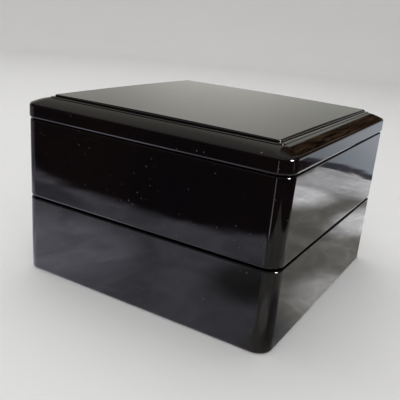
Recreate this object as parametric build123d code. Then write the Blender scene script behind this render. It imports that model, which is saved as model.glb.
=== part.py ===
from build123d import *
import math
import os

# Two-tier stacking food box with a flush lid: mitred, lacquered wooden boards.
# Millimetres, +Z up. The origin is the centre of the face the box stands on.
# +X is the right-hand side, -Y is the front.

# --- Tiers ---------------------------------------------------------------
TIER_WIDTH = 194.8
TIER_DEPTH = 194.8
TIER_HEIGHT = 54.35
CORNER_RADIUS = 10.0
WALL_THICKNESS = 7.0
RIM_ROUND = 0.8
FOOT_ROUND = 1.8
BOTTOM_THICKNESS = 5.0

# --- Lip strips let into the rim of each tier -------------------------------
LIP_THICKNESS = 3.0
LIP_RISE = 7.0
LIP_SEATED_DEPTH = 8.0
LIP_TOP_ROUND = 0.6

# --- Fits between what stacks -----------------------------------------------
TIER_GAP = 1.05
LID_GAP = 0.5
LIP_CLEARANCE = 0.4
SEAT_CLEARANCE = 0.1

# --- Lid ----------------------------------------------------------------
LID_OVERHANG = 0.4
SKIRT_HEIGHT = 8.25
SKIRT_FOOT_ROUND = 2.0
SHOULDER_RADIUS = 2.5
SHOULDER_END_SLOPE = 27.0
BORDER_WIDTH = 11.45
BORDER_END_SLOPE = 11.4
LEDGE_STEP = 0.4
LEDGE_RISE = 0.4
LEDGE_WIDTH = 2.85
LEDGE_CORNER_RADIUS = 4.4
PANEL_STEP = 1.84
PANEL_CORNER_RADIUS = 2.0
PANEL_CROWN = 0.6
PANEL_THICKNESS = 8.0
PANEL_CROWN_STOCK = 1.0
TONGUE_THICKNESS = 2.6
TONGUE_DEPTH = 2.6
SHOULDER_SECTIONS = 4
BORDER_SECTIONS = 6

# --- Splines across the mitres ------------------------------------------------
WALL_SPLINE_THICKNESS = 2.0
WALL_SPLINE_WIDTH = 5.0
WALL_SPLINE_END_COVER = 3.0
LID_SPLINE_THICKNESS = 1.8
LID_SPLINE_WIDTH = 8.0
LID_SPLINE_LENGTH = 8.0
LID_SPLINE_COVER = 1.2
LID_SPLINE_INSET = 6.4

# --- Cross dividers ---------------------------------------------------------
DIVIDER_THICKNESS = 3.0
DIVIDER_END_CLEARANCE = 1.0
DIVIDER_SLOT_CLEARANCE = 0.3
DIVIDER_TOP_BELOW_RIM = 2.0
DIVIDER_FLOOR_CLEARANCE = 0.2
DIVIDER_TOP_ROUND = 1.0

# --- Worked out from the sizes above ------------------------------------------
TIER_PITCH = TIER_HEIGHT + TIER_GAP
LID_BASE = TIER_PITCH + TIER_HEIGHT + LID_GAP
FOOT_RECESS_DEPTH = LIP_RISE + SEAT_CLEARANCE - TIER_GAP
LID_SEAT_HEIGHT = LIP_RISE + SEAT_CLEARANCE - LID_GAP
FLOOR_HEIGHT = FOOT_RECESS_DEPTH + BOTTOM_THICKNESS
LIP_OUTER_INSET = WALL_THICKNESS - LIP_THICKNESS
RECESS_INSET = LIP_OUTER_INSET - LIP_CLEARANCE
LID_TOP_OF_SKIRT = LID_BASE + SKIRT_HEIGHT
SIDES = {"front": 0, "right": 90, "back": 180, "left": 270}
CORNER_SIGNS = ((1, 1), (-1, 1), (-1, -1), (1, -1))


def block(inset, bottom, top, radius=None):
    """Upright block with the tiers' plan, moved in by inset, between two heights."""
    if radius is None:
        radius = CORNER_RADIUS - inset
    plan = RectangleRounded(TIER_WIDTH - 2 * inset, TIER_DEPTH - 2 * inset, radius)
    return extrude(Plane.XY.offset(bottom) * plan, amount=top - bottom)


def level_edges(solid, height):
    """Edges that lie flat at one height."""
    return solid.edges().filter_by_position(Axis.Z, height, height)


def side_wedge(side):
    """The part of space that belongs to one side, out to the two mitre planes.

    The mitre planes run in from the corners of the plan at 45 degrees. On a square plan they
    meet over the middle. On a longer side they stop at a ridge, so the wedge is a trapezium.
    """
    reach = TIER_WIDTH + TIER_DEPTH
    half_length = TIER_WIDTH / 2
    distance = TIER_DEPTH / 2
    if side in ("right", "left"):
        half_length, distance = distance, half_length
    meeting_depth = min(half_length, distance)
    half_ridge = half_length - meeting_depth
    ridge_y = meeting_depth - distance
    outline = [(half_ridge, ridge_y)]
    outline.append((half_length + reach, -distance - reach))
    outline.append((-half_length - reach, -distance - reach))
    if half_ridge > 0:
        outline.append((-half_ridge, ridge_y))
    wedge = extrude(make_face(Polyline(*outline, close=True)), amount=reach, both=True)
    return Rot(Z=SIDES[side]) * wedge


def corner_boxes(size_out, size_across, height, distance_in, bottom):
    """One small upright box across each mitre, its middle distance_in from the corner's face."""
    boxes = []
    from_arc_centre = (CORNER_RADIUS - distance_in) / math.sqrt(2)
    for sign_x, sign_y in CORNER_SIGNS:
        x = sign_x * (TIER_WIDTH / 2 - CORNER_RADIUS + from_arc_centre)
        y = sign_y * (TIER_DEPTH / 2 - CORNER_RADIUS + from_arc_centre)
        turn = math.degrees(math.atan2(sign_y, sign_x))
        key = Box(size_out, size_across, height, align=(Align.CENTER, Align.CENTER, Align.MIN))
        boxes.append(Pos(x, y, bottom) * Rot(Z=turn) * key)
    return boxes


def tier_ring(base):
    """The four walls of a tier before the mitres are cut."""
    top = base + TIER_HEIGHT
    ring = block(0, base, top)
    ring = fillet(level_edges(ring, top), RIM_ROUND)
    ring = fillet(level_edges(ring, base), FOOT_ROUND)
    ring -= block(WALL_THICKNESS, base, top)
    ring -= block(RECESS_INSET, base, base + FLOOR_HEIGHT)
    ring -= block(LIP_OUTER_INSET, top - LIP_SEATED_DEPTH, top)
    return ring


def lip_ring(base):
    """The standing lip of a tier before the mitres are cut."""
    rim = base + TIER_HEIGHT
    top = rim + LIP_RISE
    bottom = rim - LIP_SEATED_DEPTH
    ring = block(LIP_OUTER_INSET, bottom, top) - block(WALL_THICKNESS, bottom, top)
    return fillet(level_edges(ring, top), LIP_TOP_ROUND)


def tier_nodes(name, base):
    """Walls, lip strips, bottom board and corner splines of one tier."""
    spline_bottom = base + FLOOR_HEIGHT + WALL_SPLINE_END_COVER
    spline_top = base + TIER_HEIGHT - LIP_SEATED_DEPTH - WALL_SPLINE_END_COVER
    splines = corner_boxes(
        WALL_SPLINE_THICKNESS,
        WALL_SPLINE_WIDTH,
        spline_top - spline_bottom,
        WALL_THICKNESS / 2,
        spline_bottom,
    )
    walls = tier_ring(base) - splines
    lips = lip_ring(base)
    nodes = {}
    for side in SIDES:
        wedge = side_wedge(side)
        nodes[f"{name}_wall_{side}"] = walls & wedge
        nodes[f"{name}_lip_{side}"] = lips & wedge
    nodes[f"{name}_bottom_board"] = block(RECESS_INSET, base + FOOT_RECESS_DEPTH, base + FLOOR_HEIGHT)
    nodes[f"{name}_corner_splines"] = Compound(children=splines)
    return nodes


def shoulder_contours():
    """Inset and height of the lid's outline, up the round shoulder to where the border starts."""
    contours = []
    sweep = 90 - SHOULDER_END_SLOPE
    for step in range(SHOULDER_SECTIONS + 1):
        angle = math.radians(sweep * step / SHOULDER_SECTIONS)
        inset = -LID_OVERHANG + SHOULDER_RADIUS * (1 - math.cos(angle))
        height = LID_TOP_OF_SKIRT + SHOULDER_RADIUS * math.sin(angle)
        contours.append((inset, height))
    return contours


def border_contours(start):
    """Inset and height up the border, a shallow arc that flattens from the shoulder inwards."""
    start_inset, start_height = start
    steep = math.radians(SHOULDER_END_SLOPE)
    flat = math.radians(BORDER_END_SLOPE)
    end_inset = -LID_OVERHANG + BORDER_WIDTH
    radius = (end_inset - start_inset) / (math.sin(steep) - math.sin(flat))
    contours = []
    for step in range(1, BORDER_SECTIONS + 1):
        angle = steep + (flat - steep) * step / BORDER_SECTIONS
        inset = start_inset + radius * (math.sin(steep) - math.sin(angle))
        height = start_height + radius * (math.cos(angle) - math.cos(steep))
        contours.append((inset, height))
    return contours


def contour_radius(inset):
    """Corner radius of the lid's outline, which tightens evenly from the shoulder to the ledge."""
    outer = CORNER_RADIUS + LID_OVERHANG
    share = (inset + LID_OVERHANG) / BORDER_WIDTH
    return outer + (LEDGE_CORNER_RADIUS - outer) * share


SHOULDER = shoulder_contours()
BORDER = border_contours(SHOULDER[-1])
LEDGE_INSET, BORDER_TOP = BORDER[-1]
LEDGE_EDGE = BORDER_TOP + LEDGE_STEP
LEDGE_TOP = LEDGE_EDGE + LEDGE_RISE
PANEL_INSET = LEDGE_INSET + LEDGE_WIDTH
PANEL_EDGE_TOP = LEDGE_TOP + PANEL_STEP
PANEL_BOTTOM = PANEL_EDGE_TOP - PANEL_THICKNESS
LID_SEAT = LID_BASE + LID_SEAT_HEIGHT


def lid_outline(inset, height, radius):
    """Plan outline of the lid at one height."""
    return Plane.XY.offset(height) * RectangleRounded(TIER_WIDTH - 2 * inset, TIER_DEPTH - 2 * inset, radius)


def lid_frame():
    """Skirt, sloping border and ledge of the lid before the mitres are cut."""
    skirt = block(-LID_OVERHANG, LID_BASE, LID_TOP_OF_SKIRT)
    skirt = fillet(level_edges(skirt, LID_BASE), SKIRT_FOOT_ROUND)
    outlines = [lid_outline(inset, height, contour_radius(inset)) for inset, height in SHOULDER + BORDER]
    frame = skirt + loft(outlines, ruled=True)
    frame += block(LEDGE_INSET, LID_SEAT, LEDGE_EDGE, LEDGE_CORNER_RADIUS)
    ledge_outer = lid_outline(LEDGE_INSET, LEDGE_EDGE, LEDGE_CORNER_RADIUS)
    ledge_inner = lid_outline(PANEL_INSET, LEDGE_TOP, PANEL_CORNER_RADIUS)
    frame += loft([ledge_outer, ledge_inner], ruled=True)
    frame -= block(RECESS_INSET, LID_BASE, LID_SEAT)
    frame -= block(PANEL_INSET, LID_BASE, LEDGE_TOP, PANEL_CORNER_RADIUS)
    return frame - panel_tongue()


def panel_tongue():
    """Band round the panel that sits in the frame's groove."""
    return block(
        PANEL_INSET - TONGUE_DEPTH,
        PANEL_BOTTOM,
        PANEL_BOTTOM + TONGUE_THICKNESS,
        PANEL_CORNER_RADIUS + TONGUE_DEPTH,
    )


def lid_panel():
    """Raised panel with a faint crown: a slice of a very large sphere."""
    half_side = min(TIER_WIDTH, TIER_DEPTH) / 2 - PANEL_INSET
    crown_radius = half_side**2 / (2 * PANEL_CROWN)
    middle_top = PANEL_EDGE_TOP + PANEL_CROWN
    slab = block(PANEL_INSET, PANEL_BOTTOM, middle_top + PANEL_CROWN_STOCK, PANEL_CORNER_RADIUS)
    ball = Pos(0, 0, middle_top - crown_radius) * Sphere(crown_radius)
    return (slab & ball) + panel_tongue()


def lid_nodes():
    """Frame rails, panel and corner splines of the lid."""
    splines = corner_boxes(
        LID_SPLINE_LENGTH,
        LID_SPLINE_WIDTH,
        LID_SPLINE_THICKNESS,
        LID_SPLINE_INSET,
        LID_SEAT + LID_SPLINE_COVER,
    )
    frame = lid_frame() - splines
    nodes = {}
    for side in SIDES:
        nodes[f"lid_rail_{side}"] = frame & side_wedge(side)
    nodes["lid_panel"] = lid_panel()
    nodes["lid_corner_splines"] = Compound(children=splines)
    return nodes


def divider_board(length, bottom, height):
    """Thin board on edge along X, its top edges rounded."""
    board = Box(length, DIVIDER_THICKNESS, height, align=(Align.CENTER, Align.CENTER, Align.MIN))
    top_edges = level_edges(board, height).filter_by(Axis.X)
    return Pos(Z=bottom) * fillet(top_edges, DIVIDER_TOP_ROUND)


def divider_nodes(name, base):
    """Two boards halved over each other in the middle of a tier."""
    bottom = base + FLOOR_HEIGHT + DIVIDER_FLOOR_CLEARANCE
    height = TIER_HEIGHT - DIVIDER_TOP_BELOW_RIM - FLOOR_HEIGHT - DIVIDER_FLOOR_CLEARANCE
    inside_width = TIER_WIDTH - 2 * WALL_THICKNESS
    inside_depth = TIER_DEPTH - 2 * WALL_THICKNESS
    slot_width = DIVIDER_THICKNESS + DIVIDER_SLOT_CLEARANCE
    slot_depth = (height + DIVIDER_SLOT_CLEARANCE) / 2
    slot = Box(slot_width, slot_width, slot_depth, align=(Align.CENTER, Align.CENTER, Align.MIN))
    long_board = divider_board(inside_width - 2 * DIVIDER_END_CLEARANCE, bottom, height)
    long_board -= Pos(Z=bottom + height - slot_depth) * slot
    cross_board = Rot(Z=90) * divider_board(inside_depth - 2 * DIVIDER_END_CLEARANCE, bottom, height)
    cross_board -= Pos(Z=bottom) * slot
    return {f"{name}_divider_long": long_board, f"{name}_divider_cross": cross_board}


def main():
    nodes = {}
    for name, base in (("lower_tier", 0), ("upper_tier", TIER_PITCH)):
        nodes.update(tier_nodes(name, base))
        nodes.update(divider_nodes(name, base))
    nodes.update(lid_nodes())
    os.makedirs("parts", exist_ok=True)
    for node, shape in nodes.items():
        export_step(shape, f"parts/{node}.step")


main()
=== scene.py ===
import bmesh
import bpy
import math
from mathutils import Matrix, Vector


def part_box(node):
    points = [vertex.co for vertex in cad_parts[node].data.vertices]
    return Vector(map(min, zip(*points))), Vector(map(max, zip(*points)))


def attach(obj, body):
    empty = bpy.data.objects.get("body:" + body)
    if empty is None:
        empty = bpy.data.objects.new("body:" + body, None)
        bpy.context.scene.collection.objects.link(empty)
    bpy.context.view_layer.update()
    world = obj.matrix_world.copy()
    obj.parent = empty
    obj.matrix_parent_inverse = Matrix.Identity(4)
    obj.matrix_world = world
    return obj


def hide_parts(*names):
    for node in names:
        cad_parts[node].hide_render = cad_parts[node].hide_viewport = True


# Looks of a two-tier stacking box in black lacquer, vermilion inside, with a flush lid.
# Metres, in the part's own frame: origin under the middle of the box, +Z up, -Y the front.

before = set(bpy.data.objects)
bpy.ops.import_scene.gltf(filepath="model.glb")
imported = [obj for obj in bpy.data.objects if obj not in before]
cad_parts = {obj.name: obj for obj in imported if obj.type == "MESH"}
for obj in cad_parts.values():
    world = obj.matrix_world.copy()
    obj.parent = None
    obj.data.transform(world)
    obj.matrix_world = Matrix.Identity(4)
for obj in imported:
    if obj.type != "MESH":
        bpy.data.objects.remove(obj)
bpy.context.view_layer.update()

MM = 0.001
TOLERANCE = 0.01 * MM
QUARTER_TURN = math.radians(90)
SIDES = ("front", "right", "back", "left")

# --- Shape values that a node's box doesn't give ------------------------------------
HALF = -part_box("lower_tier_wall_front")[0].y
CORNER_RADIUS = 10.0 * MM
WALL_THICKNESS = 7.0 * MM
LIP_INSET = 4.0 * MM
RECESS_INSET = 3.6 * MM
RIM_ROUND = 0.8 * MM
FOOT_ROUND = 1.8 * MM
INNER_RIM_ROUND = 0.3 * MM
LIP_ROUND = 0.6 * MM
COVE_RADIUS = 1.4 * MM

LID_OVERHANG = 0.4 * MM
SKIRT_HEIGHT = 8.25 * MM
SKIRT_FOOT_ROUND = 2.0 * MM
SEAT_CLEARANCE = 0.1 * MM
SHOULDER_RADIUS = 2.5 * MM
SHOULDER_END = math.radians(27.0)
BORDER_WIDTH = 11.45 * MM
BORDER_END = math.radians(11.4)
STEP_FOOT_BAND = 0.18 * MM
LEDGE_STEP = 0.4 * MM
LEDGE_WIDTH = 2.85 * MM
LEDGE_CORNER_RADIUS = 4.4 * MM
LEDGE_START = math.radians(16.0)
LEDGE_END = math.radians(0.5)
EDGE_BREAK = 0.18 * MM
PANEL_CORNER_RADIUS = 2.0 * MM
PANEL_CROWN = 0.6 * MM
PANEL_EDGE_ROUND = 0.85 * MM
TONGUE_THICKNESS = 2.6 * MM
TONGUE_DEPTH = 2.6 * MM

DIVIDER_THICKNESS = 3.0 * MM
SLOT_CLEARANCE = 0.3 * MM
DIVIDER_TOP_ROUND = 1.2 * MM
DIVIDER_EDGE_BREAK = 0.25 * MM

# How finely the rounds are divided
CORNER_STEPS = 96
ROUND_STEPS = 6
SHOULDER_STEPS = 10
BORDER_STEPS = 14
LEDGE_STEPS = 8
EDGE_BREAK_STEPS = 3
CROWN_CUTS = 24
CAP_LEAST_CORNERS = 9
SMOOTH_BELOW = math.radians(32)
BREAK_EDGES_OVER = math.radians(60)


# --- Whole pieces -----------------------------------------------------------------
def make_active(piece):
    """Selects one piece and nothing else."""
    bpy.ops.object.select_all(action="DESELECT")
    piece.select_set(True)
    bpy.context.view_layer.objects.active = piece


def fix_place():
    """Puts the selected piece's place, turn and size into its mesh."""
    bpy.ops.object.transform_apply(location=True, rotation=True, scale=True)


def name_piece(piece, name):
    piece.name = name
    piece.data.name = name


def copy_piece(piece, name):
    """A copy with its own mesh."""
    twin = piece.copy()
    twin.data = piece.data.copy()
    name_piece(twin, name)
    bpy.context.collection.objects.link(twin)
    return twin


def new_block(name, size, middle):
    """Plain block, the start of a piece."""
    bpy.ops.object.select_all(action="DESELECT")
    bpy.ops.mesh.primitive_cube_add(size=1, location=middle)
    block = bpy.context.object
    name_piece(block, name)
    block.scale = size
    fix_place()
    return block


# --- Working on a mesh ----------------------------------------------------------
def work_on(piece):
    """Edit mode on one piece, with nothing picked."""
    if bpy.context.mode != "OBJECT":
        bpy.ops.object.mode_set(mode="OBJECT")
    make_active(piece)
    bpy.ops.object.mode_set(mode="EDIT")
    bpy.ops.mesh.select_mode(type="FACE")
    bpy.ops.mesh.select_all(action="DESELECT")


def stop_work():
    bpy.ops.object.mode_set(mode="OBJECT")


def pick_faces(test):
    """Picks the faces of the piece in edit mode that pass a test, and no others."""
    bpy.ops.mesh.select_mode(type="FACE")
    mesh = bmesh.from_edit_mesh(bpy.context.object.data)
    for face in mesh.faces:
        face.select_set(test(face))
    mesh.select_flush_mode()
    bmesh.update_edit_mesh(bpy.context.object.data)


def pick_edges(test):
    """Picks the edges of the piece in edit mode that pass a test, and no others."""
    bpy.ops.mesh.select_mode(type="EDGE")
    bpy.ops.mesh.select_all(action="DESELECT")
    mesh = bmesh.from_edit_mesh(bpy.context.object.data)
    for edge in mesh.edges:
        edge.select_set(test(edge))
    mesh.select_flush_mode()
    bmesh.update_edit_mesh(bpy.context.object.data)


def at_height(vertex, height):
    return abs(vertex.co.z - height) < TOLERANCE


def is_cap(face, height):
    """A face with a whole outline round it, flat at one height."""
    return len(face.verts) >= CAP_LEAST_CORNERS and all(at_height(v, height) for v in face.verts)


def pick_cap(height):
    pick_faces(lambda face: is_cap(face, height))


def plan_inset(place):
    """How far a point is inside the tiers' outer face, corners included."""
    arc_centre = HALF - CORNER_RADIUS
    from_x = max(abs(place.x) - arc_centre, 0)
    from_y = max(abs(place.y) - arc_centre, 0)
    return CORNER_RADIUS - math.hypot(from_x, from_y)


def pick_outline(distance, height):
    """Picks the edges of the outline that runs round the box a distance inside its outer face."""
    def on_outline(vertex):
        return at_height(vertex, height) and abs(plan_inset(vertex.co) - distance) < TOLERANCE
    pick_edges(lambda edge: all(on_outline(v) for v in edge.verts))


def round_picked(radius, steps=ROUND_STEPS):
    bpy.ops.mesh.bevel(offset=radius, segments=steps, profile=0.5, affect="EDGES", clamp_overlap=False)


def round_cap(height, radius):
    """Rounds the edge of a cap and leaves the cap picked."""
    pick_cap(height)
    bpy.ops.mesh.select_mode(type="EDGE")
    bpy.ops.mesh.region_to_loop()
    round_picked(radius)
    pick_cap(height)


def inset(distance):
    bpy.ops.mesh.inset(thickness=distance, use_even_offset=True)


def rise(height):
    """Draws the picked cap out along Z."""
    bpy.ops.mesh.extrude_region_move(TRANSFORM_OT_translate={"value": (0, 0, height)})


def lift(height):
    bpy.ops.transform.translate(value=(0, 0, height))


def spread(factor):
    bpy.ops.transform.resize(value=(factor, factor, 1), center_override=(0, 0, 0))


def step_to(start, end):
    """Takes the picked cap from one rounded-square outline to the next.

    An outline is (half width, corner radius, height). Insetting takes the same off the half
    width and the radius, and spreading scales both, so the two together give any pair.
    """
    half_1, radius_1, height_1 = start
    half_2, radius_2, height_2 = end
    factor = (half_2 - radius_2) / (half_1 - radius_1)
    distance = half_1 - half_2 / factor
    if distance > TOLERANCE / 10:
        inset(distance)
        lift(height_2 - height_1)
    else:
        rise(height_2 - height_1)
    if abs(factor - 1) > 1e-7:
        spread(factor)


def follow(outlines):
    for start, end in zip(outlines, outlines[1:]):
        step_to(start, end)


def square_block(name, half, radius, bottom, top):
    """Block with rounded upright corners, left in edit mode."""
    block = new_block(name, (2 * half, 2 * half, top - bottom), (0, 0, (bottom + top) / 2))
    work_on(block)
    pick_edges(lambda edge: abs(edge.verts[0].co.z - edge.verts[1].co.z) > TOLERANCE)
    round_picked(radius, CORNER_STEPS)
    return block


def join_caps(height_1, height_2):
    """Opens the block between two facing caps."""
    pick_faces(lambda face: is_cap(face, height_1) or is_cap(face, height_2))
    bpy.ops.mesh.bridge_edge_loops()


def finish_mesh(piece):
    """Outward normals, smooth rounds and true flats."""
    work_on(piece)
    bpy.ops.mesh.select_all(action="SELECT")
    bpy.ops.mesh.remove_doubles(threshold=TOLERANCE / 100)
    bpy.ops.mesh.normals_make_consistent(inside=False)
    stop_work()
    bpy.ops.object.shade_smooth_by_angle(angle=SMOOTH_BELOW)
    weighting = piece.modifiers.new("true_flats", "WEIGHTED_NORMAL")
    weighting.keep_sharp = True
    weighting.weight = 100
    bpy.ops.object.modifier_apply(modifier=weighting.name)


def front_quarter(ring, name):
    """Copies a ring and keeps its front side, out to the mitres."""
    side = copy_piece(ring, name)
    work_on(side)
    for across in (1, -1):
        bpy.ops.mesh.select_all(action="SELECT")
        bpy.ops.mesh.bisect(
            plane_co=(0, 0, 0),
            plane_no=(across, 1, 0),
            use_fill=True,
            clear_outer=True,
            threshold=TOLERANCE / 100,
        )
    stop_work()
    return side


def four_sides(ring, names):
    """The four mitred sides of a ring. One is cut and finished, the rest are turned copies."""
    first = front_quarter(ring, names[0])
    bpy.data.objects.remove(ring)
    finish_mesh(first)
    sides = [first]
    for quarter, name in enumerate(names[1:], start=1):
        side = copy_piece(first, name)
        make_active(side)
        side.rotation_euler.z = math.radians(90 * quarter)
        fix_place()
        sides.append(side)
    return sides


# --- Tiers ------------------------------------------------------------------
def wall_ring(tier):
    """The walls of a tier: rounded rim and foot, a rebate for the lip, a recess in the foot."""
    low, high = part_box(f"{tier}_wall_front")
    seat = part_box(f"{tier}_lip_front")[0].z
    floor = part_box(f"{tier}_bottom_board")[1].z
    ring = square_block(f"{tier}_wall_ring", HALF, CORNER_RADIUS, low.z, high.z)
    round_cap(high.z, RIM_ROUND)
    inset(LIP_INSET - RIM_ROUND)
    rise(seat - high.z)
    inset(WALL_THICKNESS - LIP_INSET)
    round_cap(low.z, FOOT_ROUND)
    inset(RECESS_INSET - FOOT_ROUND)
    rise(floor - low.z)
    inset(WALL_THICKNESS - RECESS_INSET)
    join_caps(seat, floor)
    for distance, height in ((LIP_INSET, high.z), (RECESS_INSET, low.z)):
        pick_outline(distance, height)
        round_picked(INNER_RIM_ROUND)
    stop_work()
    return ring


def lip_ring(tier):
    """The standing lip of a tier, rounded along its top."""
    low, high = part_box(f"{tier}_lip_front")
    ring = square_block(f"{tier}_lip_ring", HALF - LIP_INSET, CORNER_RADIUS - LIP_INSET, low.z, high.z)
    round_cap(high.z, LIP_ROUND)
    inset(WALL_THICKNESS - LIP_INSET - LIP_ROUND)
    pick_cap(low.z)
    inset(WALL_THICKNESS - LIP_INSET)
    join_caps(low.z, high.z)
    pick_outline(WALL_THICKNESS, high.z)
    round_picked(LIP_ROUND)
    stop_work()
    return ring


def bottom_board(tier):
    """Bottom board with a cove of lacquer where the floor meets the walls."""
    low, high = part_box(f"{tier}_bottom_board")
    board = square_block(
        f"{tier}_bottom_board_lacquered", HALF - RECESS_INSET, CORNER_RADIUS - RECESS_INSET, low.z, high.z
    )
    pick_cap(high.z)
    inset(WALL_THICKNESS - RECESS_INSET)
    rise(COVE_RADIUS)
    half = HALF - WALL_THICKNESS
    radius = CORNER_RADIUS - WALL_THICKNESS
    outlines = []
    for step in range(ROUND_STEPS + 1):
        angle = QUARTER_TURN * step / ROUND_STEPS
        run = COVE_RADIUS * (1 - math.cos(angle))
        outlines.append((half - run, radius - run, high.z + COVE_RADIUS * (1 - math.sin(angle))))
    follow(outlines)
    stop_work()
    finish_mesh(board)
    return board


# --- Lid --------------------------------------------------------------------
def border_outlines(base):
    """Outlines of the lid from the top of the skirt, over the shoulder and up the border."""
    skirt_half = HALF + LID_OVERHANG
    skirt_radius = CORNER_RADIUS + LID_OVERHANG
    shoulder_bottom = base + SKIRT_HEIGHT
    runs = []
    for step in range(SHOULDER_STEPS + 1):
        angle = (QUARTER_TURN - SHOULDER_END) * step / SHOULDER_STEPS
        run = SHOULDER_RADIUS * (1 - math.cos(angle))
        runs.append((run, shoulder_bottom + SHOULDER_RADIUS * math.sin(angle)))
    start_run, start_height = runs[-1]
    arc_radius = (BORDER_WIDTH - start_run) / (math.sin(SHOULDER_END) - math.sin(BORDER_END))
    for step in range(1, BORDER_STEPS + 1):
        angle = SHOULDER_END + (BORDER_END - SHOULDER_END) * step / BORDER_STEPS
        run = start_run + arc_radius * (math.sin(SHOULDER_END) - math.sin(angle))
        runs.append((run, start_height + arc_radius * (math.cos(angle) - math.cos(SHOULDER_END))))
    outlines = []
    for run, height in runs:
        radius = skirt_radius + (LEDGE_CORNER_RADIUS - skirt_radius) * run / BORDER_WIDTH
        outlines.append((skirt_half - run, radius, height))
    return outlines


def edge_outlines(edge, reach):
    """Outlines of a small full round, from an upright face over onto the ledge above it."""
    half, radius, height = edge
    outlines = []
    for step in range(ROUND_STEPS + 1):
        angle = (QUARTER_TURN - LEDGE_START) * step / ROUND_STEPS
        run = reach * (1 - math.cos(angle))
        outlines.append((half - run, radius - run, height - reach * (1 - math.sin(angle))))
    return outlines


def ledge_outlines(edge, opening):
    """Outlines of the ledge, which rises a little from its edge and flattens towards the panel."""
    outlines = []
    for step in range(1, LEDGE_STEPS + 1):
        slope = LEDGE_START + (LEDGE_END - LEDGE_START) * step / LEDGE_STEPS
        along = (math.sin(LEDGE_START) - math.sin(slope)) / (math.sin(LEDGE_START) - math.sin(LEDGE_END))
        up = (math.cos(slope) - math.cos(LEDGE_START)) / (math.cos(LEDGE_END) - math.cos(LEDGE_START))
        half, radius = (a + (b - a) * along for a, b in zip(edge[:2], opening[:2]))
        outlines.append((half, radius, edge[2] + (opening[2] - edge[2]) * up))
    return outlines


def lid_frame():
    """The lid's frame: skirt, shoulder, border, step and ledge, with the panel's groove inside."""
    low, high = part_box("lid_rail_front")
    tongue_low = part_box("lid_panel")[0].z
    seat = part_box("upper_tier_lip_front")[1].z + SEAT_CLEARANCE
    skirt_top = low.z + SKIRT_HEIGHT
    border = border_outlines(low.z)
    ring = square_block("lid_frame_ring", HALF + LID_OVERHANG, CORNER_RADIUS + LID_OVERHANG, low.z, skirt_top)
    pick_cap(skirt_top)
    follow(border)
    ledge_half, _, border_top = border[-1]
    step_foot = (ledge_half, LEDGE_CORNER_RADIUS, border_top + STEP_FOOT_BAND)
    crest = edge_outlines((ledge_half, LEDGE_CORNER_RADIUS, border_top + LEDGE_STEP), EDGE_BREAK)
    panel_half = ledge_half - LEDGE_WIDTH
    opening = (panel_half, PANEL_CORNER_RADIUS, high.z)
    follow([border[-1], step_foot] + crest + ledge_outlines(crest[-1], opening))
    round_cap(low.z, SKIRT_FOOT_ROUND)
    inset(LID_OVERHANG + RECESS_INSET - SKIRT_FOOT_ROUND)
    rise(seat - low.z)
    recess = (HALF - RECESS_INSET, CORNER_RADIUS - RECESS_INSET, seat)
    step_to(recess, (panel_half, PANEL_CORNER_RADIUS, seat))
    rise(tongue_low - seat)
    widening = (panel_half + TONGUE_DEPTH) / panel_half
    rise(0)
    spread(widening)
    rise(TONGUE_THICKNESS)
    rise(0)
    spread(1 / widening)
    join_caps(tongue_low + TONGUE_THICKNESS, high.z)
    pick_outline(RECESS_INSET, low.z)
    round_picked(INNER_RIM_ROUND)
    stop_work()
    return ring


def crown(place, edge_half):
    """Height of the faintly domed panel over its own edge."""
    bend_radius = edge_half**2 / (2 * PANEL_CROWN)
    return PANEL_CROWN - (place.x**2 + place.y**2) / (2 * bend_radius)


def lid_panel():
    """Raised panel: tongue, upright edge, small round and a faintly domed top."""
    low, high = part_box("lid_panel")
    tongue_half = high.x
    tongue_radius = PANEL_CORNER_RADIUS + TONGUE_DEPTH
    tongue_top = low.z + TONGUE_THICKNESS
    panel_half = tongue_half - TONGUE_DEPTH
    edge_height = high.z - PANEL_CROWN
    panel = square_block("lid_panel_lacquered", tongue_half, tongue_radius, low.z, tongue_top)
    pick_cap(tongue_top)
    inset(TONGUE_DEPTH)
    rise(edge_height - low.z - TONGUE_THICKNESS)
    round_cap(edge_height, PANEL_EDGE_ROUND)
    for axis in (Vector((1, 0, 0)), Vector((0, 1, 0))):
        for cut in range(1, CROWN_CUTS):
            pick_faces(lambda face: all(at_height(v, edge_height) for v in face.verts))
            place = axis * panel_half * (2 * cut / CROWN_CUTS - 1)
            bpy.ops.mesh.bisect(plane_co=place, plane_no=axis, threshold=TOLERANCE / 100)
    stop_work()
    for vertex in panel.data.vertices:
        if vertex.co.z > edge_height - PANEL_EDGE_ROUND - TOLERANCE:
            vertex.co.z += crown(vertex.co, panel_half)
    finish_mesh(panel)
    return panel


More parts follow.
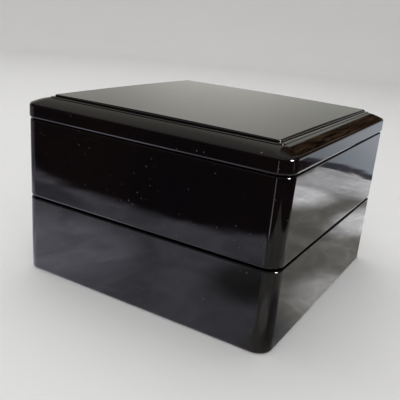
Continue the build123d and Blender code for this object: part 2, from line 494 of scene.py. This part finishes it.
# --- Dividers ---------------------------------------------------------------
def divider_board(node, name):
    """Thin board on edge, halved over its partner and rounded along the top."""
    low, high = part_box(node)
    size = high - low
    along_x = size.x > size.y
    board = new_block(name, size, (low + high) / 2)
    slot = DIVIDER_THICKNESS + SLOT_CLEARANCE
    slot_height = size.z + SLOT_CLEARANCE
    slot_size = (slot, 2 * slot, slot_height) if along_x else (2 * slot, slot, slot_height)
    cutter = new_block("halving_cutter", slot_size, (0, 0, high.z if along_x else low.z))
    make_active(board)
    halving = board.modifiers.new("halving", "BOOLEAN")
    halving.operation = "DIFFERENCE"
    halving.object = cutter
    halving.solver = "EXACT"
    bpy.ops.object.modifier_apply(modifier=halving.name)
    bpy.data.objects.remove(cutter)
    work_on(board)
    across = 1 if along_x else 0

    def on_top_edge(edge):
        first, second = edge.verts
        level = at_height(first, high.z) and at_height(second, high.z)
        return level and abs(first.co[across] - second.co[across]) < TOLERANCE
    pick_edges(on_top_edge)
    round_picked(DIVIDER_TOP_ROUND)
    stop_work()
    breaking = board.modifiers.new("edge_break", "BEVEL")
    breaking.width = DIVIDER_EDGE_BREAK
    breaking.segments = EDGE_BREAK_STEPS
    breaking.limit_method = "ANGLE"
    breaking.angle_limit = BREAK_EDGES_OVER
    bpy.ops.object.modifier_apply(modifier=breaking.name)
    finish_mesh(board)
    return board


# --- Nodes ------------------------------------------------------------------
def feed(tree, source, socket):
    """Links a node's output to a socket, or sets the socket to a number or a colour."""
    if isinstance(source, tuple):
        socket.default_value = (*source, 1)
    elif isinstance(source, (int, float)):
        socket.default_value = source
    else:
        tree.links.new(source, socket)


def calc(tree, operation, first, second=0.0):
    node = tree.nodes.new("ShaderNodeMath")
    node.operation = operation
    feed(tree, first, node.inputs[0])
    feed(tree, second, node.inputs[1])
    return node.outputs["Value"]


def times(tree, first, second):
    return calc(tree, "MULTIPLY", first, second)


def plus(tree, first, second):
    return calc(tree, "ADD", first, second)


def minus(tree, first, second):
    return calc(tree, "SUBTRACT", first, second)


def square(tree, value, scale):
    return times(tree, times(tree, value, value), scale)


def blend(tree, factor, first, second):
    """Goes from the first colour to the second as a factor goes from none to one."""
    mix = tree.nodes.new("ShaderNodeMix")
    mix.data_type = "RGBA"
    feed(tree, factor, mix.inputs["Factor"])
    feed(tree, first, mix.inputs["A"])
    feed(tree, second, mix.inputs["B"])
    return mix.outputs["Result"]


def dim(tree, colour, factor):
    """Makes a colour darker or lighter."""
    scaled = tree.nodes.new("ShaderNodeVectorMath")
    scaled.operation = "SCALE"
    feed(tree, colour, scaled.inputs[0])
    feed(tree, factor, scaled.inputs["Scale"])
    return scaled.outputs["Vector"]


def ramp(tree, value, start, end, low, high):
    """Goes smoothly from low to high as a value goes from start to end."""
    node = tree.nodes.new("ShaderNodeMapRange")
    node.interpolation_type = "SMOOTHSTEP"
    feed(tree, value, node.inputs["Value"])
    node.inputs["From Min"].default_value = start
    node.inputs["From Max"].default_value = end
    node.inputs["To Min"].default_value = low
    node.inputs["To Max"].default_value = high
    return node.outputs["Result"]


def between(tree, value, low, high, soft):
    """One inside a range and none outside it, with soft ends."""
    rises = ramp(tree, value, low - soft, low + soft, 0, 1)
    falls = ramp(tree, value, high - soft, high + soft, 1, 0)
    return times(tree, rises, falls)


def on_piece(tree):
    """Place on the piece, in metres."""
    return tree.nodes.new("ShaderNodeTexCoord").outputs["Object"]


def split_up(tree, place):
    """The X, Y and Z of a place or a direction."""
    split = tree.nodes.new("ShaderNodeSeparateXYZ")
    feed(tree, place, split.inputs["Vector"])
    return split.outputs["X"], split.outputs["Y"], split.outputs["Z"]


def stretch(tree, place, scale):
    mapping = tree.nodes.new("ShaderNodeMapping")
    mapping.inputs["Scale"].default_value = scale
    feed(tree, place, mapping.inputs["Vector"])
    return mapping.outputs["Vector"]


def noise(tree, place, scale, detail, distortion=0.0, roughness=0.5):
    node = tree.nodes.new("ShaderNodeTexNoise")
    node.inputs["Scale"].default_value = scale
    node.inputs["Detail"].default_value = detail
    node.inputs["Roughness"].default_value = roughness
    node.inputs["Distortion"].default_value = distortion
    feed(tree, place, node.inputs["Vector"])
    return node.outputs["Fac"]


def ridges(tree, place, scale, detail, distortion):
    """None along thin wandering lines, and more away from them."""
    return calc(tree, "ABSOLUTE", minus(tree, noise(tree, place, scale, detail, distortion), 0.5))


def bump(tree, height, shader):
    """Raises the surface by a height in millimetres."""
    node = tree.nodes.new("ShaderNodeBump")
    node.inputs["Strength"].default_value = 1.0
    node.inputs["Distance"].default_value = MM
    feed(tree, height, node.inputs["Height"])
    feed(tree, node.outputs["Normal"], shader["Normal"])


def new_material(name):
    material = bpy.data.materials.new(name)
    material.use_nodes = True
    tree = material.node_tree
    return material, tree, tree.nodes["Principled BSDF"].inputs


def new_group(name, amounts, results):
    """Shader group that takes in named amounts and gives out named values."""
    group = bpy.data.node_groups.new(name, "ShaderNodeTree")
    for titles, way in ((amounts, "INPUT"), (results, "OUTPUT")):
        for title in titles:
            group.interface.new_socket(title, in_out=way, socket_type="NodeSocketFloat")
    return group, group.nodes.new("NodeGroupInput").outputs, group.nodes.new("NodeGroupOutput").inputs


def use_group(tree, group, **amounts):
    """Places a group in a material, with that material's own amounts."""
    user = tree.nodes.new("ShaderNodeGroup")
    user.node_tree = group
    for title, amount in amounts.items():
        user.inputs[title].default_value = amount
    return user.outputs


# --- Materials --------------------------------------------------------------
def brushed_film():
    """The film of lacquer: how it lies over the board, how thick it is, and how well it is polished.

    Waves, Peel and Pits are in millimetres: its broad unevenness, its fine skin and its pinholes.
    """
    group, amount, result = new_group(
        "brushed_film", ("Waves", "Peel", "Pits"), ("Height", "Thickness", "Polish")
    )
    place = on_piece(group)
    waves = times(group, noise(group, place, 24, 1.0), amount["Waves"])
    peel = times(group, noise(group, place, 420, 1.5), amount["Peel"])
    pinholes = ramp(group, noise(group, place, 900, 0.5), 0.24, 0.34, 1, 0)
    pits = times(group, pinholes, amount["Pits"])
    rubbed = ramp(group, noise(group, stretch(group, place, (9, 9, 120)), 3.0, 3.0), 0.35, 0.75, 0, 1)
    blotches = ramp(group, noise(group, place, 38, 3.0, 0.4), 0.35, 0.75, 0, 1)
    feed(group, minus(group, plus(group, waves, peel), pits), result["Height"])
    feed(group, ramp(group, noise(group, place, 11, 4.0, 0.6), 0.3, 0.7, 0, 1), result["Thickness"])
    feed(group, times(group, plus(group, rubbed, blotches), 0.5), result["Polish"])
    return group


def settled_dust():
    """Fine specks of dust, a few of them larger. Show and Dull are how much each speck does."""
    group, amount, result = new_group("settled_dust", ("Show", "Dull"), ("Colour", "Roughness"))
    place = on_piece(group)
    specks = 0.0
    for scale, size, share in ((150, 0.070, 0.60), (330, 0.110, 0.72), (62, 0.036, 0.70)):
        cells = group.nodes.new("ShaderNodeTexVoronoi")
        cells.inputs["Scale"].default_value = scale
        feed(group, place, cells.inputs["Vector"])
        split = group.nodes.new("ShaderNodeSeparateColor")
        feed(group, cells.outputs["Color"], split.inputs["Color"])
        dots = ramp(group, cells.outputs["Distance"], size * 0.6, size * 1.3, 1, 0)
        dots = times(group, dots, ramp(group, split.outputs["Red"], share, share + 0.1, 0, 1))
        specks = calc(group, "MAXIMUM", specks, dots)
    feed(group, times(group, specks, amount["Show"]), result["Colour"])
    feed(group, times(group, specks, amount["Dull"]), result["Roughness"])
    return group


def black_lacquer():
    """Roiro: black lacquer rubbed to a deep gloss, faintly brown where the film is thin."""
    material, tree, shader = new_material("black_lacquer")
    film = use_group(tree, BRUSHED_FILM, Waves=0.020, Peel=0.0009, Pits=0.0006)
    dust = use_group(tree, SETTLED_DUST, Show=0.35, Dull=0.25)
    colour = blend(tree, film["Thickness"], (0.0034, 0.0021, 0.0019), (0.0014, 0.0014, 0.0019))
    feed(tree, blend(tree, dust["Colour"], colour, (0.20, 0.185, 0.17)), shader["Base Color"])
    roughness = ramp(tree, film["Polish"], 0, 1, 0.028, 0.085)
    feed(tree, plus(tree, roughness, dust["Roughness"]), shader["Roughness"])
    shader["IOR"].default_value = LACQUER_IOR
    bump(tree, film["Height"], shader)
    return material


def vermilion_lacquer():
    """Cinnabar lacquer on the inside faces, a little streaked by the brush."""
    material, tree, shader = new_material("vermilion_lacquer")
    film = use_group(tree, BRUSHED_FILM, Waves=0.020, Peel=0.0009, Pits=0.0006)
    dust = use_group(tree, SETTLED_DUST, Show=0.3)
    strokes = noise(tree, stretch(tree, on_piece(tree), (14, 240, 240)), 1.0, 3.0)
    colour = blend(tree, film["Thickness"], (0.36, 0.028, 0.012), (0.47, 0.047, 0.020))
    colour = blend(tree, ramp(tree, strokes, 0.4, 0.8, 0, 0.45), colour, (0.27, 0.018, 0.008))
    feed(tree, blend(tree, dust["Colour"], colour, (0.45, 0.30, 0.25)), shader["Base Color"])
    feed(tree, ramp(tree, film["Polish"], 0, 1, 0.10, 0.21), shader["Roughness"])
    shader["IOR"].default_value = LACQUER_IOR
    bump(tree, film["Height"], shader)
    return material


def bare_wood():
    """Straight-grained hinoki, planed and left bare."""
    material, tree, shader = new_material("bare_wood")
    place = on_piece(tree)
    rings = tree.nodes.new("ShaderNodeTexWave")
    rings.bands_direction = "DIAGONAL"
    rings.inputs["Scale"].default_value = 210
    rings.inputs["Distortion"].default_value = 2.6
    rings.inputs["Detail"].default_value = 2.0
    rings.inputs["Detail Scale"].default_value = 1.4
    feed(tree, stretch(tree, place, (1, 1, 0.12)), rings.inputs["Vector"])
    fibres = noise(tree, stretch(tree, place, (2200, 2200, 90)), 1.0, 3.0)
    colour = blend(tree, rings.outputs["Fac"], (0.60, 0.43, 0.25), (0.40, 0.25, 0.12))
    colour = blend(tree, ramp(tree, fibres, 0.45, 0.8, 0, 0.6), colour, (0.30, 0.18, 0.09))
    feed(tree, colour, shader["Base Color"])
    feed(tree, ramp(tree, fibres, 0.2, 0.8, 0.50, 0.72), shader["Roughness"])
    bump(tree, times(tree, fibres, 0.04), shader)
    return material


LACQUER_IOR = 1.5
BRUSHED_FILM = brushed_film()
SETTLED_DUST = settled_dust()
BLACK = black_lacquer()
VERMILION = vermilion_lacquer()
WOOD = bare_wood()


def coat(piece, is_inside=None):
    """Black lacquer all over, and vermilion on the faces that a test names."""
    piece.data.materials.clear()
    piece.data.materials.append(BLACK)
    if is_inside:
        piece.data.materials.append(VERMILION)
        for face in piece.data.polygons:
            face.material_index = 1 if is_inside(face) else 0


def inside_tier(face):
    """The upright inner faces of the walls and the lip."""
    return abs(face.normal.z) < 0.5 and plan_inset(face.center) > WALL_THICKNESS - TOLERANCE


def faces_up(face):
    return face.normal.z > 0.01


def faces_down(face):
    return face.normal.z < -0.9


# --- Put the box together -----------------------------------------------------
def put(piece, body, slot_name, *nodes):
    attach(piece, body)
    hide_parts(*nodes)


for tier in ("lower_tier", "upper_tier"):
    for kind, ring in (("wall", wall_ring(tier)), ("lip", lip_ring(tier))):
        names = [f"{tier}_{kind}_{side}_lacquered" for side in SIDES]
        for piece, side in zip(four_sides(ring, names), SIDES):
            coat(piece, inside_tier)
            put(piece, tier, "black_lacquer", f"{tier}_{kind}_{side}")
    board = bottom_board(tier)
    coat(board, faces_up)
    put(board, tier, "vermilion_lacquer", f"{tier}_bottom_board")
    for kind in ("long", "cross"):
        node = f"{tier}_divider_{kind}"
        board = divider_board(node, f"{node}_lacquered")
        coat(board)
        put(board, f"{tier.split('_')[0]}_divider_{kind}", "black_lacquer", node)

rail_names = [f"lid_rail_{side}_lacquered" for side in SIDES]
for piece, side in zip(four_sides(lid_frame(), rail_names), SIDES):
    coat(piece)
    put(piece, "lid", "black_lacquer", f"lid_rail_{side}")
panel = lid_panel()
coat(panel, faces_down)
put(panel, "lid", "black_lacquer", "lid_panel")

for node in ("lower_tier_corner_splines", "upper_tier_corner_splines", "lid_corner_splines"):
    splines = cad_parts[node]
    splines.data.materials.clear()
    splines.data.materials.append(WOOD)


# --- Floor and backdrop -------------------------------------------------------
FLOOR_RADIUS = 1.6
FLOOR_CORNERS = 128
SWEEP_RADIUS = 0.25
SWEEP_STEPS = 8
BACKDROP_HEIGHT = 0.8


def floor_disc(name):
    bpy.ops.object.select_all(action="DESELECT")
    bpy.ops.mesh.primitive_circle_add(vertices=FLOOR_CORNERS, radius=FLOOR_RADIUS, fill_type="NGON")
    disc = bpy.context.object
    disc.name = name
    return disc


def floor_and_backdrop():
    """Pale floor that sweeps up into a wall all round."""
    sweep = floor_disc("backdrop")
    work_on(sweep)
    bpy.ops.mesh.select_all(action="SELECT")
    bpy.ops.mesh.select_mode(type="EDGE")
    bpy.ops.mesh.region_to_loop()
    for step in range(SWEEP_STEPS):
        before, after = (QUARTER_TURN * s / SWEEP_STEPS for s in (step, step + 1))
        reach_before, reach_after = (FLOOR_RADIUS + SWEEP_RADIUS * math.sin(a) for a in (before, after))
        rise(SWEEP_RADIUS * (math.cos(before) - math.cos(after)))
        spread(reach_after / reach_before)
    rise(BACKDROP_HEIGHT)
    stop_work()
    bpy.ops.object.shade_smooth_by_angle(angle=math.radians(40))
    return sweep


def backdrop_paint():
    """Matt pale grey, with no shine."""
    material, _, shader = new_material("backdrop_paint")
    shader["Base Color"].default_value = (0.80, 0.80, 0.79, 1)
    shader["Roughness"].default_value = 0.9
    shader["Specular IOR Level"].default_value = 0.0
    return material


# --- Painted reflections: what the lacquer mirrors --------------------------------
def lay_oval(tree, place, ground, tone, centre, half_size, turn):
    """Lays a soft oval of one tone on a ground, turned by some degrees."""
    mapping = tree.nodes.new("ShaderNodeMapping")
    mapping.vector_type = "TEXTURE"
    mapping.inputs["Location"].default_value = (*centre, 0)
    mapping.inputs["Rotation"].default_value = (0, 0, math.radians(turn))
    mapping.inputs["Scale"].default_value = (*half_size, 1)
    feed(tree, place, mapping.inputs["Vector"])
    length = tree.nodes.new("ShaderNodeVectorMath")
    length.operation = "LENGTH"
    feed(tree, mapping.outputs["Vector"], length.inputs[0])
    return blend(tree, ramp(tree, length.outputs["Value"], 0.45, 1.15, 1, 0), ground, tone)


def cloth_extent(tree, x, y, folds):
    """One on the cloth and none past its ends: bowed in front, and drawn in on the right."""
    left_sag = square(tree, calc(tree, "MINIMUM", plus(tree, x, 0.14), 0), 1.5)
    right_sag = square(tree, calc(tree, "MAXIMUM", plus(tree, x, 0.05), 0), 6)
    right_sag = calc(tree, "MINIMUM", right_sag, 0.028)
    from_front = plus(tree, plus(tree, y, 0.250), plus(tree, left_sag, right_sag))
    from_front = plus(tree, from_front, times(tree, folds, 0.004))
    drawn_in = times(tree, calc(tree, "MAXIMUM", minus(tree, 0.3, y), 0), 0.18)
    past_right = plus(tree, minus(tree, x, drawn_in), times(tree, folds, 0.003))
    behind_front = ramp(tree, from_front, -0.012, 0.012, 0, 1)
    return times(tree, behind_front, ramp(tree, past_right, 0.228, 0.240, 1, 0))


def cloth_in_front(tree, place, x):
    """Painted light and shade on the reflected cloth: brighter close to the box, a patch of shade at the
    left, a deeper patch of shade off the right corner, and shade towards the far left.
    """
    bright, shade_at_left, shade_off_corner = (1.20, 1.16, 1.38), (0.33, 0.32, 0.38), (0.17, 0.17, 0.18)
    cloth = (0.68, 0.66, 0.77)
    cloth = lay_oval(tree, place, cloth, bright, (-0.105, -0.140), (0.085, 0.055), 20)
    cloth = lay_oval(tree, place, cloth, shade_at_left, (-0.215, -0.226), (0.070, 0.024), 8)
    cloth = lay_oval(tree, place, cloth, shade_off_corner, (0.050, -0.182), (0.044, 0.044), 0)
    # painted shade: the cloth darkens towards its far left
    return dim(tree, cloth, ramp(tree, x, -0.36, -0.27, 0.4, 1))


def cloth_on_right(tree, place, y, folds):
    """Painted light and shade on the reflected cloth: in the shade of the box, then two lit slopes with a
    fold between them, all of it lighter and darker along its wrinkles.
    """
    shaded_corner, lit_corner = (0.13, 0.13, 0.14), (0.70, 0.68, 0.66)
    far_slope, near_slope = (0.66, 0.65, 0.64), (0.72, 0.71, 0.70)
    lit, brightest, far_cloth = (1.30, 1.28, 1.30), (2.30, 2.28, 2.36), (1.13, 1.12, 1.15)
    # painted shade of the box on the cloth, with a darker and a lighter patch off its front corner
    cloth = (0.375, 0.365, 0.335)
    cloth = lay_oval(tree, place, cloth, shaded_corner, (0.136, -0.075), (0.052, 0.050), 0)
    cloth = lay_oval(tree, place, cloth, lit_corner, (0.128, -0.134), (0.030, 0.030), 0)
    cloth = lay_oval(tree, place, cloth, far_slope, (0.200, 0.062), (0.034, 0.030), 25)
    cloth = lay_oval(tree, place, cloth, near_slope, (0.100, 0.010), (0.024, 0.046), 0)
    cloth = lay_oval(tree, place, cloth, lit, (0.121, 0.195), (0.027, 0.074), 8)
    cloth = lay_oval(tree, place, cloth, brightest, (0.216, 0.222), (0.052, 0.066), 14)
    far_part = ramp(tree, plus(tree, y, times(tree, folds, 0.01)), 0.235, 0.275, 0, 1)
    cloth = blend(tree, far_part, cloth, far_cloth)
    # painted light and shade along the wrinkles
    wrinkles = ridges(tree, stretch(tree, place, (1.0, 0.5, 1.0)), 46, 2.0, 0.9)
    return dim(tree, cloth, ramp(tree, wrinkles, 0.0, 0.10, 1.12, 0.95))


def painted_floor_reflection():
    """Painted reflection of the floor: a glowing sheet, seen only in the lacquer's gloss, painted with a lit,
    softly folded cloth and its shade, which ends a little way in front.
    """
    material = bpy.data.materials.new("painted_floor_reflection")
    material.use_nodes = True
    tree = material.node_tree
    tree.nodes.clear()
    place = on_piece(tree)
    x, y, _ = split_up(tree, place)
    folds = ramp(tree, noise(tree, place, 16, 2.5, 1.2, 0.45), 0.32, 0.68, -1, 1)
    on_right = ramp(tree, x, 0.07, 0.09, 0, 1)
    cloth = blend(tree, on_right, cloth_in_front(tree, place, x), cloth_on_right(tree, place, y, folds))
    # painted light and shade: lighter and darker across the folds, and along the creases
    cloth = dim(tree, cloth, ramp(tree, folds, -1, 1, 0.86, 1.14))
    creases = ridges(tree, stretch(tree, place, (1.0, 0.45, 1.0)), 34, 3.0, 1.6)
    cloth = dim(tree, cloth, ramp(tree, creases, 0.0, 0.12, 1.07, 0.97))

    # past the cloth in front: dark, with one light strip, and a pale spot far off on the right
    dark_front, light_strip, pale_spot = (0.040, 0.028, 0.031), (1.7, 1.62, 1.75), (0.90, 0.90, 0.95)
    seen = blend(tree, cloth_extent(tree, x, y, folds), dark_front, cloth)
    across_strip = between(tree, plus(tree, x, times(tree, y, 0.15)), 0.051, 0.077, 0.004)
    strip = times(tree, across_strip, ramp(tree, y, -0.30, -0.27, 1, 0))
    seen = blend(tree, strip, seen, light_strip)
    seen = lay_oval(tree, place, seen, pale_spot, (0.535, 0.035), (0.060, 0.016), 4)

    # past the cloth behind: a gap of shadow, then a cold light wall
    gap_shadow, wall_near, wall_far = (0.12, 0.125, 0.15), (0.62, 0.69, 0.77), (0.80, 0.84, 0.92)
    past_cloth = minus(tree, plus(tree, y, times(tree, folds, 0.010)), times(tree, x, 0.15))
    seen = blend(tree, ramp(tree, past_cloth, 0.330, 0.342, 0, 1), seen, gap_shadow)
    cold_wall = blend(tree, ramp(tree, y, 0.40, 0.62, 0, 1), wall_near, wall_far)
    wall_side = ramp(tree, minus(tree, y, times(tree, x, 1.5)), -0.06, 0.0, 0, 1)
    past_gap = times(tree, ramp(tree, past_cloth, 0.360, 0.376, 0, 1), wall_side)
    seen = blend(tree, past_gap, seen, cold_wall)
    glow = tree.nodes.new("ShaderNodeEmission")
    feed(tree, seen, glow.inputs["Color"])
    feed(tree, glow.outputs["Emission"], tree.nodes.new("ShaderNodeOutputMaterial").inputs["Surface"])
    return material


def light_wall(tree, around, up):
    """The wall behind: lighter low down, duller towards its corner and past its middle."""
    low, high, corner = (0.68, 0.67, 0.62), (0.40, 0.39, 0.35), (0.44, 0.44, 0.40)
    wall = blend(tree, ramp(tree, up, 12, 24, 0, 1), low, high)
    towards_corner = blend(tree, ramp(tree, around, 104, 118, 0, 1), corner, wall)
    wall = blend(tree, ramp(tree, up, 12, 20, 0, 1), towards_corner, wall)
    return dim(tree, wall, ramp(tree, around, 121, 132, 1, 0.74))


def timber_side(tree, direction, around, up, ceiling):
    """Dark boards at the right with a pale door frame, over a cold light, under the ceiling."""
    dark_grain, light_grain, door_frame = (0.010, 0.005, 0.003), (0.135, 0.080, 0.042), (0.36, 0.33, 0.29)
    skirting, cold_light = (0.15, 0.13, 0.125), (0.80, 0.84, 0.92)
    boards = stretch(tree, direction, (1.6, 1.6, 6.0))
    grain = ramp(tree, noise(tree, boards, 8.0, 4.0, 1.6), 0.42, 0.62, 0, 1)
    side = blend(tree, grain, dark_grain, light_grain)
    on_frame = times(tree, between(tree, around, 84.5, 89.5, 1.5), ramp(tree, up, 17, 19, 0, 1))
    side = blend(tree, on_frame, side, door_frame)
    side = blend(tree, ramp(tree, up, 9, 12, 0, 1), skirting, side)
    side = blend(tree, ramp(tree, up, 3, 7, 0, 1), cold_light, side)
    return blend(tree, ramp(tree, up, 40, 60, 0, 1), side, ceiling)


def room():
    """The room that the lacquer mirrors: a light wall behind, a dark front, timber at the right.

    Up is degrees above the horizon, and around is degrees from +X towards +Y.
    """
    world = bpy.data.worlds.new("room")
    world.use_nodes = True
    tree = world.node_tree
    tree.nodes.clear()
    direction = tree.nodes.new("ShaderNodeTexCoord").outputs["Generated"]
    x, y, z = split_up(tree, direction)
    up = times(tree, calc(tree, "ARCSINE", z), 180 / math.pi)
    around = times(tree, calc(tree, "ARCTAN2", y, x), 180 / math.pi)

    dark_front, ceiling, plain_paper = (0.050, 0.030, 0.034), (0.35, 0.33, 0.33), (0.50, 0.50, 0.49)
    seen = blend(tree, ramp(tree, up, 24, 48, 0, 1), dark_front, ceiling)
    seen = blend(tree, between(tree, around, 96, 172, 3), seen, light_wall(tree, around, up))
    leaning = plus(tree, around, times(tree, minus(tree, 18, up), 0.4))
    at_timber = times(tree, ramp(tree, around, 55, 61, 0, 1), ramp(tree, leaning, 99.6, 101.6, 1, 0))
    seen = blend(tree, at_timber, seen, timber_side(tree, direction, around, up, ceiling))

    # above the top of the backdrop the camera sees plain paper
    to_camera = tree.nodes.new("ShaderNodeLightPath").outputs["Is Camera Ray"]
    background = tree.nodes.new("ShaderNodeBackground")
    feed(tree, blend(tree, to_camera, seen, plain_paper), background.inputs["Color"])
    feed(tree, background.outputs["Background"], tree.nodes.new("ShaderNodeOutputWorld").inputs["Surface"])
    return world


# --- Lights and camera ----------------------------------------------------------
AIM = Vector((0, 0, 0.06))
WINDOW_LIGHT = (0.95, 0.98, 1.0)
DAYLIGHT = (0.97, 0.985, 1.0)
CAMERA_PLACE = (0.1994, -0.3682, 0.1906)
CAMERA_TURN = (70.10, -5.18, 30.08)
CAMERA_SHIFT = (-0.0337, 0.0341)
SENSOR_WIDTH = 36.0
FOCAL_LENGTH = 51.2
NEAREST_SEEN = 0.01


def panel_light(name, azimuth, elevation, distance, size, radiance, colour, in_gloss, on_matt):
    """A flat light aimed at the box. Its power comes from how bright its face is."""
    light = bpy.data.lights.new(name, "AREA")
    light.shape = "RECTANGLE"
    light.size, light.size_y = size
    light.energy = radiance * math.pi * size[0] * size[1]
    light.color = colour
    lamp = bpy.data.objects.new(name, light)
    bpy.context.scene.collection.objects.link(lamp)
    around, up = math.radians(azimuth), math.radians(elevation)
    away = Vector((math.cos(around) * math.cos(up), math.sin(around) * math.cos(up), math.sin(up)))
    lamp.location = AIM + away * distance
    lamp.rotation_euler = away.to_track_quat("Z", "Y").to_euler()
    lamp.visible_glossy = in_gloss
    lamp.visible_diffuse = on_matt


backdrop = floor_and_backdrop()
backdrop.data.materials.append(backdrop_paint())
backdrop.visible_glossy = False

# painted reflection: a glowing disc at the floor, hidden from the camera, from matt light and from shadows,
# so that it shows only in the lacquer's gloss
painted_reflection_sheet = floor_disc("painted_reflection_sheet")
painted_reflection_sheet.data.materials.append(painted_floor_reflection())
painted_reflection_sheet.visible_camera = False
painted_reflection_sheet.visible_diffuse = False
painted_reflection_sheet.visible_shadow = False
painted_reflection_sheet.visible_transmission = False

bpy.context.scene.world = room()
panel_light(
    "window", azimuth=-6, elevation=23, distance=1.2, size=(0.34, 0.30), radiance=130,
    colour=WINDOW_LIGHT, in_gloss=True, on_matt=False,
)
panel_light(
    "skylight", azimuth=150, elevation=72, distance=1.5, size=(1.8, 1.8), radiance=1.6,
    colour=DAYLIGHT, in_gloss=False, on_matt=True,
)
panel_light(
    "side_fill", azimuth=-60, elevation=40, distance=1.5, size=(1.4, 1.2), radiance=1.4,
    colour=DAYLIGHT, in_gloss=False, on_matt=True,
)

camera_data = bpy.data.cameras.new("camera")
camera_data.sensor_width = SENSOR_WIDTH
camera_data.lens = FOCAL_LENGTH
camera_data.shift_x, camera_data.shift_y = CAMERA_SHIFT
camera_data.clip_start = NEAREST_SEEN
camera = bpy.data.objects.new("camera", camera_data)
bpy.context.scene.collection.objects.link(camera)
camera.location = CAMERA_PLACE
camera.rotation_euler = tuple(math.radians(a) for a in CAMERA_TURN)
bpy.context.scene.camera = camera
bpy.context.scene.view_settings.view_transform = "Standard"
